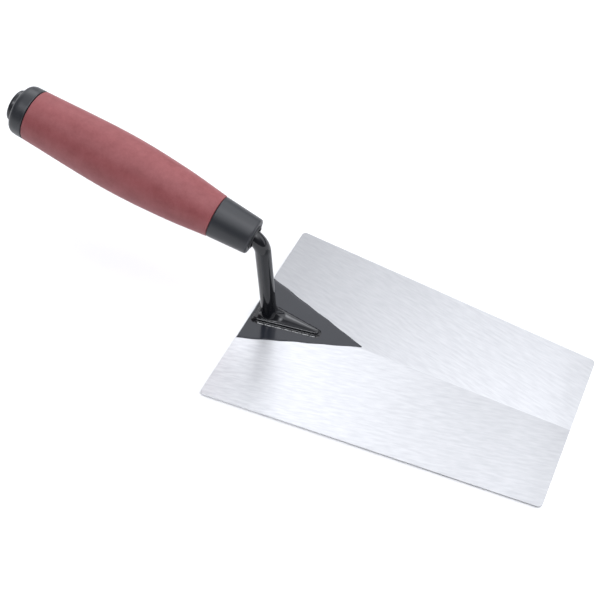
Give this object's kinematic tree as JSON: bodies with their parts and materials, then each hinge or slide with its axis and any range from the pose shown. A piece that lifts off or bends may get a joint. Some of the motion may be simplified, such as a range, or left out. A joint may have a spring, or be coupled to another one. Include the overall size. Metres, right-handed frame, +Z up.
{
  "type": "masonry hand trowel",
  "caption": "Square-fronted masonry trowel: flat steel blade that narrows forwards, painted tang with a tapered foot and a cranked round shank, and a soft grip handle.",
  "frame": {"origin": "on the blade's underside, directly below the shank's base", "axes": "+X towards the blade's front edge, +Z up out of the blade's upper face, +Y to the blade's left seen from the handle"},
  "size_m": [0.3179, 0.1266, 0.1065],
  "materials": {
    "blade_steel": "ground, fine straight grain",
    "tang_paint": "gloss black paint",
    "core_plastic": "satin moulded plastic",
    "collar_plastic": "satin moulded plastic",
    "grip_rubber": "soft touch",
    "fastener_steel": "zinc plated"
  },
  "bodies": {
    "root": {"blade": "blade_steel", "tang": "tang_paint", "foot_weld": "tang_paint", "handle_core": "core_plastic", "ferrule": "collar_plastic", "grip_sleeve": "grip_rubber", "butt_cap": "collar_plastic", "butt_plug": "collar_plastic", "tang_washer": "fastener_steel", "tang_nut": "fastener_steel"}
  },
  "joints": []
}
